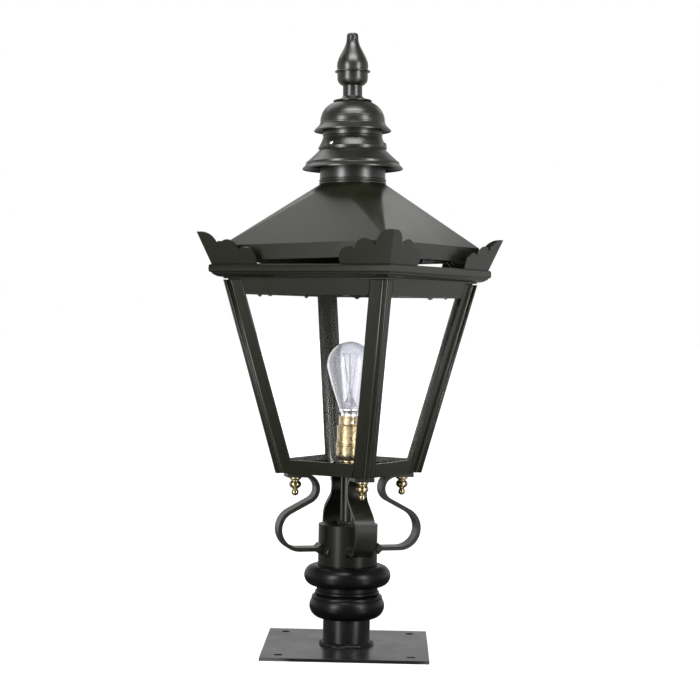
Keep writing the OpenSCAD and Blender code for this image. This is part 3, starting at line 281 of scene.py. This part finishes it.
# %% [markdown]
# ## How paint shows its age
# Sprayed paint is never quite even. It has a fine orange-peel skin, slow changes of gloss where
# hands and rain have been, and a little pale dust on what faces up. It could be painted by hand for
# each piece, but a pattern on the object's own coordinates fits every piece at the right scale. The
# three effects go into one node group, so that every painted piece shares them at its own strength.

# %% A helper for node groups
def new_group(name, ins, outs):
    """An empty group with its named sockets, its input node and its output node."""
    group = bpy.data.node_groups.new(name, "ShaderNodeTree")
    for label, kind, value in ins:
        socket = group.interface.new_socket(label, in_out="INPUT", socket_type="NodeSocket" + kind)
        socket.default_value = value
    for label, kind in outs:
        group.interface.new_socket(label, in_out="OUTPUT", socket_type="NodeSocket" + kind)
    return group, group.nodes.new("NodeGroupInput").outputs, group.nodes.new("NodeGroupOutput").inputs


SKIN_OUTPUTS = [("Color", "Color"), ("Roughness", "Float"), ("Height", "Float")]
print("group helper ready")

# %% Painted skin: dust
skin, given, sent = new_group(
    "painted_skin",
    [("Dark", "Color", grey(0.03)), ("Dust", "Color", (0.2, 0.2, 0.18, 1)), ("Dust Amount", "Float", 0.3),
     ("Roughness", "Float", 0.4), ("Peel", "Float", 0.3)],
    SKIN_OUTPUTS,
)
place = skin.nodes.new("ShaderNodeTexCoord").outputs["Object"]
facing = parts_in(skin, skin.nodes.new("ShaderNodeNewGeometry").outputs["Normal"])
cloud = noise_in(skin, place, 26, 5, 0.6)
speck = map_in(skin, noise_in(skin, place, 620, 2, 0.5), 0.6, 0.78)
settled = math_in(skin, "MULTIPLY", map_in(skin, facing["Z"], 0.15, 1.0), map_in(skin, cloud, 0.35, 0.7))
loose = math_in(skin, "ADD", settled, math_in(skin, "MULTIPLY", speck, 0.12))
dusty = math_in(skin, "MULTIPLY", loose, given["Dust Amount"])
skin.links.new(mix_in(skin, dusty, given["Dark"], given["Dust"]), sent["Color"])
print("dust laid with", len(skin.nodes), "nodes")

# %% Painted skin: gloss and peel
stains = map_in(skin, cloud, 0.3, 0.7, -0.012, 0.015)
wear = map_in(skin, noise_in(skin, place, 7, 3, 0.5), 0.3, 0.7, -0.012, 0.012)
gloss = math_in(skin, "ADD", math_in(skin, "ADD", stains, wear), given["Roughness"])
skin.links.new(math_in(skin, "ADD", gloss, math_in(skin, "MULTIPLY", dusty, 0.35)), sent["Roughness"])
peel = math_in(skin, "MULTIPLY", noise_in(skin, place, 420, 2, 0.4), given["Peel"])
skin.links.new(peel, sent["Height"])
print("painted_skin has", len(skin.nodes), "nodes")

# %% [markdown]
# ## The paints
# One can of greenish black covers the lantern, but each kind of metal takes it differently. Smooth
# sheet stays glossy. The spun chimney and the forged arms are rougher. The cast moulding is matt and
# swallows most light, and the tube and plate under it are a neutral black. So there is one recipe
# with numbers for each: how dark, how dusty, how rough, how strong the peel, and how much it shines.

# %% A helper for shaders
def skinned(name, group, values, depth, strength):
    """A material whose colour, roughness and bump come from a group, with the group's own values."""
    made = bpy.data.materials.new(name)
    made.use_nodes = True
    tree = made.node_tree
    shader = tree.nodes["Principled BSDF"]
    surface = tree.nodes.new("ShaderNodeGroup")
    surface.node_tree = group
    for label, value in values.items():
        surface.inputs[label].default_value = value
    bump = tree.nodes.new("ShaderNodeBump")
    bump.inputs["Distance"].default_value = depth
    bump.inputs["Strength"].default_value = strength
    for output, socket in ((surface.outputs["Color"], shader.inputs["Base Color"]),
                           (surface.outputs["Roughness"], shader.inputs["Roughness"]),
                           (surface.outputs["Height"], bump.inputs["Height"]),
                           (bump.outputs["Normal"], shader.inputs["Normal"])):
        tree.links.new(output, socket)
    print(name, "mixed")
    return made, shader.inputs


print("shader helper ready")


# %% Painted materials
def painted(name, dark, dust, amount, rough, peel, shine=0.5, depth=0.00035):
    values = {"Dark": (*dark, 1), "Dust": dust, "Dust Amount": amount, "Roughness": rough, "Peel": peel}
    made, sockets = skinned(name, skin, values, depth, 0.5)
    sockets["Specular IOR Level"].default_value = shine
    return made


OLIVE_DUST, GREY_DUST = (0.10, 0.10, 0.085, 1), grey(0.10)
lantern_paint = painted("lantern_paint", (0.0070, 0.0075, 0.0025), OLIVE_DUST, 0.08, 0.24, 0.10)
roof_paint = painted("roof_paint", (0.0080, 0.0084, 0.0040), OLIVE_DUST, 0.06, 0.29, 0.05)
chimney_paint = painted("chimney_paint", (0.0065, 0.0068, 0.0040), OLIVE_DUST, 0.08, 0.33, 0.06, shine=0.70)
socket_paint = painted("socket_paint", (0.0055, 0.0058, 0.0030), OLIVE_DUST, 0.06, 0.30, 0.2, shine=0.27)
scroll_paint = painted("scroll_paint", (0.0060, 0.0063, 0.0030), OLIVE_DUST, 0.08, 0.32, 0.3, shine=0.45)
tube_paint = painted("tube_paint", (0.0050, 0.0050, 0.0055), GREY_DUST, 0.07, 0.30, 0.3)
cast_paint = painted("cast_paint", (0.0030, 0.0030, 0.0034), GREY_DUST, 0.05, 0.33, 0.2, shine=0.21, depth=0.0006)
plate_paint = painted("plate_paint", (0.0090, 0.0090, 0.0094), GREY_DUST, 0.12, 0.26, 0.4, shine=0.36)

# %% [markdown]
# ## Bare metals
# The small fastenings and the lampholder are not painted. Polished brass carries faint brown stains
# and fine turning lines round its axis, zinc plating has a cloudy satin, the roof's catch is oiled
# black, and the bulb's cap is plain bright metal. All of it is one story, a clean colour with
# stains over it and lines turned into it, so one group tells it and each metal sets its own colours.
# The lampholder's brass is a darker and less sharp copy of the nuts': the darker colour is painted shade for its place
# inside the dark lantern body.

# %% Tarnish group
tarnish, given, sent = new_group(
    "tarnish",
    [("Clean", "Color", (0.7, 0.5, 0.2, 1)), ("Stained", "Color", (0.3, 0.2, 0.08, 1)), ("Stain", "Float", 0.4),
     ("Roughness", "Float", 0.2), ("Lines", "Float", 900.0)],
    SKIN_OUTPUTS,
)
place = tarnish.nodes.new("ShaderNodeTexCoord").outputs["Object"]
blot = map_in(tarnish, noise_in(tarnish, place, 130, 5, 0.65), 0.42, 0.72)
amount = math_in(tarnish, "MULTIPLY", blot, given["Stain"])
tarnish.links.new(mix_in(tarnish, amount, given["Clean"], given["Stained"]), sent["Color"])
gloss = math_in(tarnish, "ADD", given["Roughness"], math_in(tarnish, "MULTIPLY", amount, 0.3))
tarnish.links.new(gloss, sent["Roughness"])
turned = math_in(tarnish, "SINE", math_in(tarnish, "MULTIPLY", parts_in(tarnish, place)["Z"], given["Lines"]))
tarnish.links.new(math_in(tarnish, "ADD", turned, blot), sent["Height"])
print("tarnish has", len(tarnish.nodes), "nodes")


# %% Bare materials
def bare(name, clean, stained, stain, rough, lines=9000.0, metal=1.0, depth=0.00002):
    values = {"Clean": (*clean, 1), "Stained": (*stained, 1), "Stain": stain, "Roughness": rough, "Lines": lines}
    made, sockets = skinned(name, tarnish, values, depth, 0.4)
    sockets["Metallic"].default_value = metal
    return made


FINE = 0.000006
brass = bare("polished_brass", (0.53, 0.47, 0.28), (0.20, 0.10, 0.035), 0.9, 0.17, depth=FINE)
# A darker copy of the nuts' brass: painted shade for the lampholder deep inside the lantern.
shaded_holder_brass = bare("shaded_holder_brass", (0.34, 0.285, 0.165), (0.16, 0.075, 0.03), 0.9, 0.24, depth=FINE)
zinc = bare("zinc_plate", (0.62, 0.62, 0.60), (0.36, 0.36, 0.34), 0.6, 0.34, lines=3000.0)
cap_metal = bare("cap_metal", (0.80, 0.80, 0.79), (0.5, 0.5, 0.48), 0.4, 0.22)
blackened = bare("blackened_steel", (0.075, 0.075, 0.080), (0.03, 0.03, 0.03), 0.5, 0.28)
tungsten = bare("tungsten", (0.10, 0.10, 0.11), (0.05, 0.05, 0.05), 0.3, 0.35)
ceramic = bare("ceramic", (0.75, 0.71, 0.62), (0.55, 0.5, 0.42), 0.5, 0.45, lines=2000.0, metal=0.0)
black_glass = bare("cap_insulator", (0.012, 0.012, 0.014), (0.05, 0.05, 0.05), 0.4, 0.2, lines=2000.0, metal=0.0)

# %% [markdown]
# ## Glass
# Panes, bulb and the stem inside it are clear glass, which bends light in a real bulb and hardly in
# a flat pane, so the panes get a low index that keeps what stands behind them in its place. The bulb
# has a faint grey tint, since four walls of it lie between the lens and the paper. Real glass would
# throw a black shadow in so small a studio, so shadow rays pass as if it were air. A faint smear in
# the gloss keeps the panes from looking like nothing at all.

# %% Glass materials
SMEAR = 0.035


def clear_glass(name, tint, ior, clear=1.0):
    made = bpy.data.materials.new(name)
    made.use_nodes = True
    tree = made.node_tree
    shader = tree.nodes["Principled BSDF"]
    for label, value in (("Base Color", (*tint, 1)), ("IOR", ior), ("Transmission Weight", clear)):
        shader.inputs[label].default_value = value
    place = tree.nodes.new("ShaderNodeTexCoord").outputs["Object"]
    tree.links.new(map_in(tree, noise_in(tree, place, 14, 4, 0.6), 0.45, 0.75, 0.0, SMEAR), shader.inputs["Roughness"])
    shadow = tree.nodes.new("ShaderNodeLightPath").outputs["Is Shadow Ray"]
    air = tree.nodes.new("ShaderNodeBsdfTransparent").outputs[0]
    tree.links.new(pick_shader(tree, shadow, shader.outputs[0], air), tree.nodes["Material Output"].inputs["Surface"])
    print(name, "made")
    return made


pane_glass = clear_glass("pane_glass", (0.995, 0.999, 0.997), 1.2)
bulb_glass = clear_glass("bulb_glass", (0.66, 0.66, 0.70), 1.3, clear=0.9)
stem_glass = clear_glass("stem_glass", (0.78, 0.78, 0.82), 1.45)

# %% [markdown]
# ## Dressing the frame
# Every solid of the frame gets its finish: the lantern's own paint on body and cornice, the matt one
# on the casting, brass where a hand undoes a nut, zinc on what is bought in. A short table says which
# piece wears what, and the last line names any piece that it forgot.

# %% Dress the nodes
FINISH = {
    lantern_paint: ["floor_tray", "bottom_rails", "post_front", "post_right", "post_back", "post_left", "top_rails",
                    "cornice", "corner_ears", "ear_rivets", "hinge_leaf_lower", "hinge_leaf_upper", "conduit",
                    "glass_clips", "clip_screws"],
    roof_paint: ["roof_shell"],
    chimney_paint: ["roof_neck", "canopy", "vent_drum", "dome", "finial_cap", "finial", "spindle_bridge"],
    socket_paint: ["column_socket", "socket_screws"],
    scroll_paint: ["conduit_nuts", "arm_front", "arm_right", "arm_back", "arm_left"],
    tube_paint: ["pedestal_tube", "tube_weld"],
    cast_paint: ["moulding"],
    plate_paint: ["base_plate"],
    brass: ["finial_nuts", "earth_screw", "plungers"],
    shaded_holder_brass: ["holder_cup", "holder_ring", "holder_barrel"],
    zinc: ["foot_studs", "spindle", "spindle_nuts", "hinge_pin", "catch_pin", "drum_screws"],
    blackened: ["catch_bracket", "spring_catch"],
    cap_metal: ["bulb_cap"],
    tungsten: ["filament"],
    ceramic: ["holder_core"],
    black_glass: ["bulb_contacts"],
    pane_glass: ["pane_front", "pane_right", "pane_back", "pane_left"],
    bulb_glass: ["bulb_glass"],
    stem_glass: ["bulb_stem"],
}
for finish, names in FINISH.items():
    for name in names:
        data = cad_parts[name].data
        data.materials.clear()
        data.materials.append(finish)
undressed = set(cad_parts) - {n for names in FINISH.values() for n in names}
print("dressed", len(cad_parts) - len(undressed), "nodes, left", sorted(undressed))

# %% [markdown]
# ## Softened edges
# Folded sheet, flat bar and plate never end in a razor edge: the brake, the file and two coats of
# paint leave a radius of half a millimetre, and that radius is what catches the light. The solids
# keep their exact shape. Each gets modifiers that join its triangles, clear the flat faces of stray
# lines, round every real edge and even out the shading.

# %% Soften the edges
JOIN, FLAT_ANGLE, EDGE_ANGLE, EDGE_STEPS, FACE_WEIGHT = 0.000002, math.radians(0.5), math.radians(30), 2, 60


def soften(name, radius):
    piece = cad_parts[name]
    piece.modifiers.new("join", "WELD").merge_threshold = JOIN
    clear = piece.modifiers.new("clear", "DECIMATE")
    clear.decimate_type, clear.angle_limit = "DISSOLVE", FLAT_ANGLE
    edge = piece.modifiers.new("edge", "BEVEL")
    edge.width, edge.segments, edge.limit_method, edge.angle_limit = radius, EDGE_STEPS, "ANGLE", EDGE_ANGLE
    even = piece.modifiers.new("even", "WEIGHTED_NORMAL")
    even.weight, even.keep_sharp = FACE_WEIGHT, False


SOFT_EDGES = {
    0.0008: ["base_plate", "arm_front", "arm_right", "arm_back", "arm_left"],
    0.0006: ["column_socket"],
    0.0004: ["corner_ears"],
    0.0003: ["top_rails", "bottom_rails", "cornice", "conduit_nuts"],
}
for radius, names in SOFT_EDGES.items():
    for name in names:
        soften(name, radius)
print("softened", sum(len(names) for names in SOFT_EDGES.values()), "nodes")

# %% [markdown]
# ## Corner posts
# Each post is a folded angle with a bar on its outer corner and a quarter-round reed on each side of
# the bar. The bar's sharp corner is planed to a narrow flat, which looks back at the dark side of the
# studio while its two rounded edges catch a soft box each: a dark line between two bright ones runs
# down every post. Bevelling the ready solid would round the wrong edges too, so the section is drawn
# once, pushed along the leaning corner line, rounded along its length, and cut level at both ends.

# %% Section of a post
LEG_WIDTH, SHEET, BAR_OUT, REED, FLAT = 0.0205, 0.002, 0.006, 0.0025, 0.006
FOLD, REED_TURNS = math.radians(43.83), (0, 0.4, 0.8, 1.2, math.pi / 2)


def post_section(with_bar):
    """Points of the section in turn; x points out along the corner line."""
    along, out = Vector((-math.sin(FOLD), math.cos(FOLD))), Vector((math.cos(FOLD), math.sin(FOLD)))
    back, face = Vector((-1, 1)).normalized(), Vector((1, 1)).normalized()
    half = []
    if with_bar:
        half = [face * BAR_OUT - back * (BAR_OUT - FLAT / math.sqrt(2)), face * BAR_OUT + back * SHEET]
        for turn in REED_TURNS:
            half.append(along * (SHEET + REED * math.sin(turn)) + out * REED * math.cos(turn))
    half += [along * LEG_WIDTH, along * LEG_WIDTH - out * SHEET]
    middle = [] if with_bar else [Vector((0, 0))]
    mirrored = [Vector((point.x, -point.y)) for point in reversed(half)]
    return middle + half + [Vector((-SHEET / math.cos(FOLD), 0))] + mirrored


print("section of", len(post_section(True)), "points")

# %% Push, round and cut
BLANK, LONG, SHARP, ROUNDING, ROUNDING_STEPS = 0.3, 0.2, 0.6, 0.0012, 4


def length_of_post(with_bar, place, low, high):
    """One stretch of a post between two heights, as a closed mesh."""
    shape = bmesh.new()
    section = shape.faces.new([shape.verts.new((point.x, point.y, 0)) for point in post_section(with_bar)])
    pushed = bmesh.ops.extrude_face_region(shape, geom=[section])["geom"]
    far_end = [part for part in pushed if isinstance(part, bmesh.types.BMVert)]
    bmesh.ops.translate(shape, vec=(0, 0, BLANK), verts=far_end)
    bmesh.ops.recalc_face_normals(shape, faces=shape.faces)
    corners = [edge for edge in shape.edges
               if edge.calc_length() > LONG and edge.is_convex and edge.calc_face_angle() > SHARP]
    bmesh.ops.bevel(shape, geom=corners, offset=ROUNDING, segments=ROUNDING_STEPS, profile=0.5,
                    affect="EDGES", material=-1)
    bmesh.ops.transform(shape, matrix=place, verts=shape.verts)
    for height, side in ((low, -1), (high, 1)):
        everything = list(shape.verts) + list(shape.edges) + list(shape.faces)
        bmesh.ops.bisect_plane(shape, geom=everything, plane_co=(0, 0, height), plane_no=(0, 0, side),
                               clear_outer=True)
        bmesh.ops.holes_fill(shape, edges=shape.edges, sides=0)
    return shape


print("posts are cut from", BLANK, "m blanks")

# %% [markdown]
# ## A helper for new pieces
# A new piece always ends the same way: its normals are turned outward, it becomes a mesh object with
# a finish, and it rides on the part of the lantern that carries it. One helper does this for the posts
# and for the weld.

# %% A helper for new pieces
def piece_from(shape, name, finish, body):
    data = bpy.data.meshes.new(name)
    bmesh.ops.recalc_face_normals(shape, faces=shape.faces)
    shape.to_mesh(data)
    shape.free()
    data.shade_smooth()
    data.materials.append(finish)
    piece = bpy.data.objects.new(name, data)
    bpy.context.scene.collection.objects.link(piece)
    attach(piece, body)
    print(name, "has", len(data.polygons), "faces")
    return piece


print("helper ready")

# %% [markdown]
# ## Raising the posts
# The four posts lean in toward the foot of the body, one at each corner. The nose bar stops a little
# below the top, where the cornice sits on the bare angle, so each post is two stretches in one mesh.

# %% Raise the posts
LEAN, BODY_FOOT, BAR_TOP, BODY_TOP = math.radians(16.268), 0.225, 0.4695, 0.477
FOOT_REACH, START_BELOW, FIRST_CORNER = 0.064 * math.sqrt(2), 0.015, -75

for corner, name in enumerate(("post_front", "post_right", "post_back", "post_left")):
    place = (Matrix.Rotation(math.radians(90 * corner + FIRST_CORNER), 4, "Z")
             @ Matrix.Translation((FOOT_REACH, 0, BODY_FOOT))
             @ Matrix.Rotation(LEAN, 4, "Y") @ Matrix.Translation((0, 0, -START_BELOW)))
    post, top = length_of_post(True, place, BODY_FOOT, BAR_TOP), length_of_post(False, place, BAR_TOP, BODY_TOP)
    spare = bpy.data.meshes.new("spare")
    top.to_mesh(spare)
    top.free()
    post.from_mesh(spare)
    bpy.data.meshes.remove(spare)
    rail = piece_from(post, "reeded_" + name, lantern_paint, "head")
    rail.modifiers.new("even", "WEIGHTED_NORMAL").weight = FACE_WEIGHT
    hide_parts(name)
    here = [[round(pick(v.co[i] for v in rail.data.vertices), 4) for i in range(3)] for pick in (min, max)]

# %% [markdown]
# ## Foot weld
# A fillet weld runs once round the foot of the tube. The welder moved the torch in small steps, so
# the bead is a row of overlapping scales, a little fatter here and thinner there. A bump pattern
# would leave its outline smooth, so the scales are real. A profile is spun round the tube and then
# pushed in and out by two waves: a quick one for the scales, whose phase bends over the bead's
# width, and a slow one for the unsteady hand.

# %% Spin the bead
TUBE_RADIUS, PLATE_TOP, WELD_LEG, SUNK, SLICES, TURNS = 0.03015, 0.004, 0.005, 0.0001, 9, 720

bead = bmesh.new()
outline = [(TUBE_RADIUS - 2 * SUNK, PLATE_TOP - SUNK)]
for i in range(SLICES + 1):
    share = i / SLICES
    bulge = 0.2 * math.sin(math.pi * share)
    outline.append((TUBE_RADIUS + WELD_LEG * (1 - share + bulge), PLATE_TOP + WELD_LEG * (share + bulge * 0.7)))
outline.append((TUBE_RADIUS - 2 * SUNK, PLATE_TOP + WELD_LEG))
ring = [bead.verts.new((r, 0, z)) for r, z in outline]
section = [bead.edges.new(pair) for pair in zip(ring, ring[1:] + ring[:1])]
bmesh.ops.spin(bead, geom=ring + section, axis=(0, 0, 1), cent=(0, 0, 0), steps=TURNS, angle=math.tau, use_merge=True)
print("bead spun with", len(bead.faces), "faces")

# %% Work the scales
SCALES, SCALE_BEND, SCALE_RISE = 46, 2.2, 0.0005

for vert in bead.verts:
    out = math.hypot(vert.co.x, vert.co.y)
    if out < TUBE_RADIUS:
        continue
    turn = math.atan2(vert.co.y, vert.co.x)
    up = (vert.co.z - PLATE_TOP) / WELD_LEG
    width = math.sin(math.pi * min(max(up, 0), 1)) ** 0.5
    phase = (turn * SCALES + SCALE_BEND * (2 * up - 1) ** 2) % math.tau / math.tau
    unsteady = 0.0004 * math.sin(5 * turn + 1.1) + 0.0003 * math.sin(11 * turn)
    push = SCALE_RISE * (phase ** 0.6 - 0.5) + unsteady
    vert.co.x += push * width * math.cos(turn)
    vert.co.y += push * width * math.sin(turn)
    vert.co.z += max(push * width * 0.7, PLATE_TOP - SUNK - vert.co.z)
foot_weld = piece_from(bead, "foot_weld", cast_paint, "pedestal")
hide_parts("tube_weld")

# %% [markdown]
# ## Filament
# Inside the bulb a wire thinner than a hair is wound into a fine coil, and the coil is bent into most
# of a ring. Two stiff leads carry it from the glass stem, and three thin hooks hold it up between
# them. Meshes of tubes would do, but a curve with a round section needs only the middle of each wire.

# %% Tools for wire
LAMP_TOP, LAMP_FOOT, HEAD_TURN = 0.394, 0.283, math.radians(-30)
RING_HEIGHT, RING_RADIUS, COIL_RADIUS = LAMP_TOP - 0.016, 0.0105, 0.00042
FIRST, LAST = math.radians(70) + HEAD_TURN, math.radians(290) + HEAD_TURN


def on_ring(turn, radius=RING_RADIUS, height=RING_HEIGHT):
    return Vector((radius * math.cos(turn), radius * math.sin(turn), height))


def wires(name, thickness, lines):
    """A piece of round wires, each through a list of points."""
    curve = bpy.data.curves.new(name, "CURVE")
    curve.dimensions, curve.bevel_depth, curve.bevel_resolution = "3D", thickness / 2, 1
    curve.use_fill_caps = True
    curve.materials.append(tungsten)
    for points in lines:
        line = curve.splines.new("POLY")
        line.points.add(len(points) - 1)
        for spot, point in zip(line.points, points):
            spot.co = (*point, 1)
    piece = bpy.data.objects.new(name, curve)
    bpy.context.scene.collection.objects.link(piece)
    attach(piece, "lamp")
    print(name, "has", len(curve.splines), "wires")
    return piece


print("ring", round(2000 * RING_RADIUS, 1), "mm across, coil", round(2000 * COIL_RADIUS, 2), "mm thick")

# %% Wind the coil
COILS, PER_COIL = 70, 10
winding = []
for i in range(COILS * PER_COIL + 1):
    share = i / (COILS * PER_COIL)
    turn, curl = FIRST + (LAST - FIRST) * share, math.tau * i / PER_COIL
    out, up = COIL_RADIUS * math.cos(curl), COIL_RADIUS * math.sin(curl)
    winding.append(on_ring(turn, RING_RADIUS + out, RING_HEIGHT + up))
filament_coil = wires("filament_coil", 0.0002, [winding])
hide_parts("filament")

# %% Bend the leads and hooks
bent = []
for turn in (FIRST, LAST):
    bent.append([on_ring(turn, 0.0022, LAMP_FOOT + 0.042), on_ring(turn, 0.0034, LAMP_FOOT + 0.052),
                 on_ring(turn, RING_RADIUS - 0.0004, RING_HEIGHT - 0.002), on_ring(turn)])
for share in (0.25, 0.5, 0.75):
    turn = FIRST + (LAST - FIRST) * share
    bent.append([on_ring(turn, 0.0012, LAMP_FOOT + 0.057), on_ring(turn, 0.0040, LAMP_FOOT + 0.0585),
                 on_ring(turn, RING_RADIUS - 0.0006, RING_HEIGHT - 0.0008),
                 on_ring(turn, RING_RADIUS, RING_HEIGHT - 0.0006)])
wires("filament_wires", 0.0007, bent)
